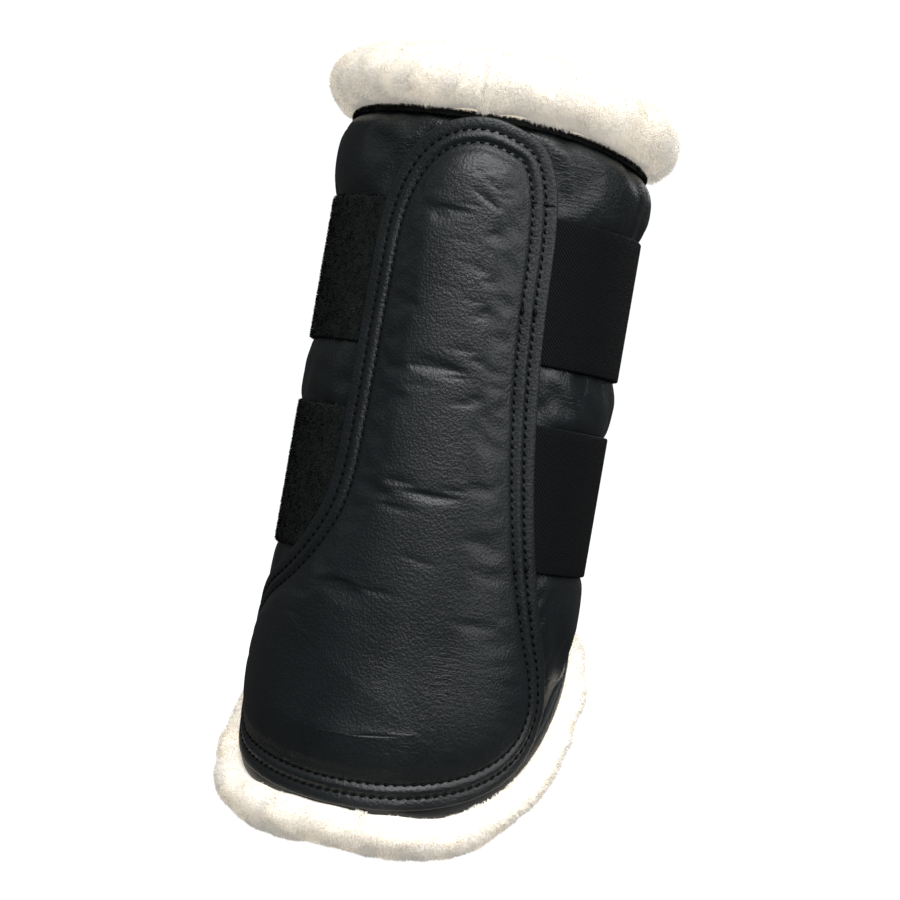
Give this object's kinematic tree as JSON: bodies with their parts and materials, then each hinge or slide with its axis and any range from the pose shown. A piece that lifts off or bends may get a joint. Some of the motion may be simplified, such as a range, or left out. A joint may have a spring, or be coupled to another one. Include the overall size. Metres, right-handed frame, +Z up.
{
  "type": "tendon boot",
  "caption": "Padded tendon boot for a horse's lower leg: domed strike pad, fleece lining rolled over both ends, elastic straps that wrap to hook tape.",
  "frame": {"origin": "on the axis of the leg channel, level with the lowest fleece", "axes": "+Z up the leg, -Y out through the strike pad, +X towards the side whose straps leave the pad"},
  "size_m": [0.1262, 0.1262, 0.277],
  "materials": {
    "fleece": "deep cream synthetic sheepskin pile",
    "padding_foam": "closed-cell foam",
    "shell_leather": "satin black coated leather look",
    "pad_leather": "satin black coated leather look, creased",
    "hem_leather": "smooth satin black binding",
    "tab_leather": "satin black stitched tab",
    "edge_trim": "brushed black textile edge",
    "elastic_webbing": "matte black twill elastic",
    "loop_tape": "brushed black loop pile",
    "hook_tape": "black moulded hooks"
  },
  "bodies": {
    "pad_panel": {"lining_centre": "fleece", "foam_centre": "padding_foam", "cover_centre": "shell_leather", "top_trim_centre": "edge_trim", "hem_binding_centre": "hem_leather", "collar_centre": "fleece", "hem_roll_centre": "fleece", "strike_pad_base": "padding_foam", "strike_pad_core": "padding_foam", "strike_pad_cover": "pad_leather", "upper_elastic_front": "elastic_webbing", "lower_elastic_front": "elastic_webbing", "upper_loop_front": "loop_tape", "lower_loop_front": "loop_tape"},
    "strap_flap": {"lining_strap_side": "fleece", "foam_strap_side": "padding_foam", "cover_strap_side": "shell_leather", "top_trim_strap_side": "edge_trim", "hem_binding_strap_side": "hem_leather", "collar_strap_side": "fleece", "hem_roll_strap_side": "fleece", "upper_elastic_side": "elastic_webbing", "lower_elastic_side": "elastic_webbing"},
    "loop_flap": {"lining_loop_side": "fleece", "foam_loop_side": "padding_foam", "cover_loop_side": "shell_leather", "top_trim_loop_side": "edge_trim", "hem_binding_loop_side": "hem_leather", "collar_loop_side": "fleece", "hem_roll_loop_side": "fleece", "upper_loop_side": "loop_tape", "lower_loop_side": "loop_tape"},
    "upper_strap": {"upper_elastic_end": "elastic_webbing", "upper_hook_tape": "hook_tape", "upper_pull_tab": "tab_leather"},
    "lower_strap": {"lower_elastic_end": "elastic_webbing", "lower_hook_tape": "hook_tape", "lower_pull_tab": "tab_leather"}
  },
  "joints": [
    {"name": "strap_flap_open", "type": "hinge", "parent": "pad_panel", "child": "strap_flap", "pos_m": [0.05614, 0.00491, 0.13], "axis": [0, 0, -1], "range_deg": [0, 75]},
    {"name": "loop_flap_open", "type": "hinge", "parent": "pad_panel", "child": "loop_flap", "pos_m": [-0.05614, 0.00491, 0.13], "axis": [0, 0, 1], "range_deg": [0, 75]},
    {"name": "upper_strap_peel", "type": "hinge", "parent": "strap_flap", "child": "upper_strap", "pos_m": [0.01033, 0.0586, 0.1985], "axis": [0, 0, -1], "range_deg": [0, 110]},
    {"name": "lower_strap_peel", "type": "hinge", "parent": "strap_flap", "child": "lower_strap", "pos_m": [0.01033, 0.0586, 0.1285], "axis": [0, 0, -1], "range_deg": [0, 110]}
  ],
  "couplings": [
    {"joint": "loop_flap_open", "follows": "strap_flap_open", "ratio": 0.8}
  ]
}
